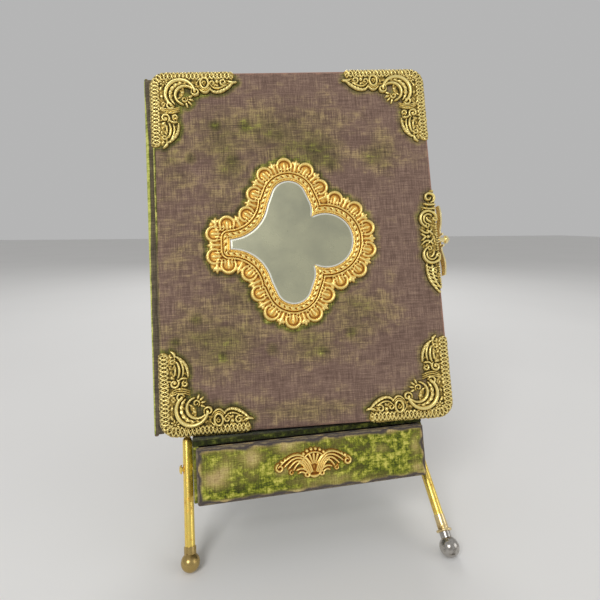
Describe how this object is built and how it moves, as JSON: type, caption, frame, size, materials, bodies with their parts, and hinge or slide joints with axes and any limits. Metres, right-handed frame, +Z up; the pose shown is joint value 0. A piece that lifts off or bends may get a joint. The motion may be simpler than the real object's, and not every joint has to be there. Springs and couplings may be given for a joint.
{
  "type": "photograph album on stand",
  "caption": "Velvet-covered photograph album with pressed brass corners, a lobed mirror and a clasp, leaning back on a folding brass-legged stand with a drawer.",
  "frame": {"origin": "on the floor, under the middle of the whole object's box", "axes": "+X from the spine to the fore edge, +Y to the back, +Z up"},
  "size_m": [0.2314, 0.1874, 0.3597],
  "materials": {
    "worn_velvet": "worn velvet on board, brown ground with olive pile left",
    "green_velvet": "worn velvet on wood, yellow-green pile",
    "gilt_brass": "pressed and gilt, with dark recesses",
    "polished_brass": "polished, lightly tarnished",
    "pale_brass": "polished",
    "steel": "polished",
    "mirror": "aged silvering",
    "leaf_card": "thick paper-covered card",
    "drawer_wood": "plain thin wood",
    "easel_cloth": "board covered with dark book cloth"
  },
  "bodies": {
    "stand": {"easel_board": "easel_cloth", "case_top": "green_velvet", "case_bottom": "green_velvet", "case_left": "green_velvet", "case_right": "green_velvet", "leg_bolts": "polished_brass", "bail_brackets": "polished_brass", "back_cover": "worn_velvet", "spine": "worn_velvet", "hasp_hinge_plate": "gilt_brass", "hasp_pin": "polished_brass"},
    "cover": {"front_cover": "worn_velvet", "corner_top_left": "gilt_brass", "corner_top_right": "gilt_brass", "corner_bottom_left": "gilt_brass", "corner_bottom_right": "gilt_brass", "mirror_frame": "gilt_brass", "mirror_glass": "mirror", "clasp_plate": "gilt_brass", "clasp_stud": "polished_brass"},
    "hasp": {"clasp_hasp": "polished_brass"},
    "drawer": {"drawer_front": "green_velvet", "drawer_left": "drawer_wood", "drawer_right": "drawer_wood", "drawer_back": "drawer_wood", "drawer_bottom": "drawer_wood", "drawer_ornament": "gilt_brass"},
    "left_leg": {"left_leg": "polished_brass", "left_foot": "polished_brass"},
    "right_leg": {"right_leg": "polished_brass", "right_ferrule": "pale_brass", "right_foot": "steel"},
    "rear_bail": {"rear_bar": "polished_brass", "rear_left_strut": "polished_brass", "rear_right_strut": "polished_brass", "rear_feet": "polished_brass"},
    "leaf_1": {"leaf_1": "leaf_card"},
    "leaf_2": {"leaf_2": "leaf_card"},
    "leaf_3": {"leaf_3": "leaf_card"},
    "leaf_4": {"leaf_4": "leaf_card"},
    "leaf_5": {"leaf_5": "leaf_card"},
    "leaf_6": {"leaf_6": "leaf_card"},
    "leaf_7": {"leaf_7": "leaf_card"},
    "leaf_8": {"leaf_8": "leaf_card"},
    "leaf_9": {"leaf_9": "leaf_card"},
    "leaf_10": {"leaf_10": "leaf_card"}
  },
  "joints": [
    {"name": "cover_hinge", "type": "hinge", "parent": "stand", "child": "cover", "pos_m": [-0.11135, -0.02484, 0.08457], "axis": [0, -0.2756, -0.9613], "range_deg": [0, 112]},
    {"name": "hasp_hinge", "type": "hinge", "parent": "stand", "child": "hasp", "pos_m": [0.10995, 0.05082, 0.20331], "axis": [0, 0.2756, 0.9613], "range_deg": [0, 100]},
    {"name": "drawer_slide", "type": "slide", "parent": "stand", "child": "drawer", "axis": [0, -0.9613, 0.2756], "range_m": [0, 0.056]},
    {"name": "left_leg_fold", "type": "hinge", "parent": "stand", "child": "left_leg", "pos_m": [-0.09185, -0.02912, 0.05875], "axis": [1, 0, 0], "range_deg": [0, 102]},
    {"name": "right_leg_fold", "type": "hinge", "parent": "stand", "child": "right_leg", "pos_m": [0.09075, -0.02912, 0.05875], "axis": [1, 0, 0], "range_deg": [0, 120]},
    {"name": "bail_fold", "type": "hinge", "parent": "stand", "child": "rear_bail", "pos_m": [-0.00055, 0.0581, 0.16482], "axis": [1, 0, 0], "range_deg": [-26, 0]},
    {"name": "leaf_1_turn", "type": "hinge", "parent": "stand", "child": "leaf_1", "pos_m": [-0.11135, -0.02176, 0.08369], "axis": [0, -0.2756, -0.9613], "range_deg": [0, 61.61]},
    {"name": "leaf_2_turn", "type": "hinge", "parent": "stand", "child": "leaf_2", "pos_m": [-0.11135, -0.01849, 0.08275], "axis": [0, -0.2756, -0.9613], "range_deg": [0, 55.45]},
    {"name": "leaf_3_turn", "type": "hinge", "parent": "stand", "child": "leaf_3", "pos_m": [-0.11135, -0.01522, 0.08181], "axis": [0, -0.2756, -0.9613], "range_deg": [0, 49.29]},
    {"name": "leaf_4_turn", "type": "hinge", "parent": "stand", "child": "leaf_4", "pos_m": [-0.11135, -0.01196, 0.08088], "axis": [0, -0.2756, -0.9613], "range_deg": [0, 43.13]},
    {"name": "leaf_5_turn", "type": "hinge", "parent": "stand", "child": "leaf_5", "pos_m": [-0.11135, -0.00869, 0.07994], "axis": [0, -0.2756, -0.9613], "range_deg": [0, 36.97]},
    {"name": "leaf_6_turn", "type": "hinge", "parent": "stand", "child": "leaf_6", "pos_m": [-0.11135, -0.00542, 0.079], "axis": [0, -0.2756, -0.9613], "range_deg": [0, 30.81]},
    {"name": "leaf_7_turn", "type": "hinge", "parent": "stand", "child": "leaf_7", "pos_m": [-0.11135, -0.00215, 0.07807], "axis": [0, -0.2756, -0.9613], "range_deg": [0, 24.65]},
    {"name": "leaf_8_turn", "type": "hinge", "parent": "stand", "child": "leaf_8", "pos_m": [-0.11135, 0.00112, 0.07713], "axis": [0, -0.2756, -0.9613], "range_deg": [0, 18.49]},
    {"name": "leaf_9_turn", "type": "hinge", "parent": "stand", "child": "leaf_9", "pos_m": [-0.11135, 0.00439, 0.07619], "axis": [0, -0.2756, -0.9613], "range_deg": [0, 12.33]},
    {"name": "leaf_10_turn", "type": "hinge", "parent": "stand", "child": "leaf_10", "pos_m": [-0.11135, 0.00765, 0.07525], "axis": [0, -0.2756, -0.9613], "range_deg": [0, 6.17]}
  ],
  "couplings": [
    {"joint": "leaf_1_turn", "follows": "cover_hinge", "ratio": 0.55},
    {"joint": "leaf_2_turn", "follows": "cover_hinge", "ratio": 0.495},
    {"joint": "leaf_3_turn", "follows": "cover_hinge", "ratio": 0.44},
    {"joint": "leaf_4_turn", "follows": "cover_hinge", "ratio": 0.385},
    {"joint": "leaf_5_turn", "follows": "cover_hinge", "ratio": 0.33},
    {"joint": "leaf_6_turn", "follows": "cover_hinge", "ratio": 0.275},
    {"joint": "leaf_7_turn", "follows": "cover_hinge", "ratio": 0.22},
    {"joint": "leaf_8_turn", "follows": "cover_hinge", "ratio": 0.165},
    {"joint": "leaf_9_turn", "follows": "cover_hinge", "ratio": 0.11},
    {"joint": "leaf_10_turn", "follows": "cover_hinge", "ratio": 0.055}
  ]
}
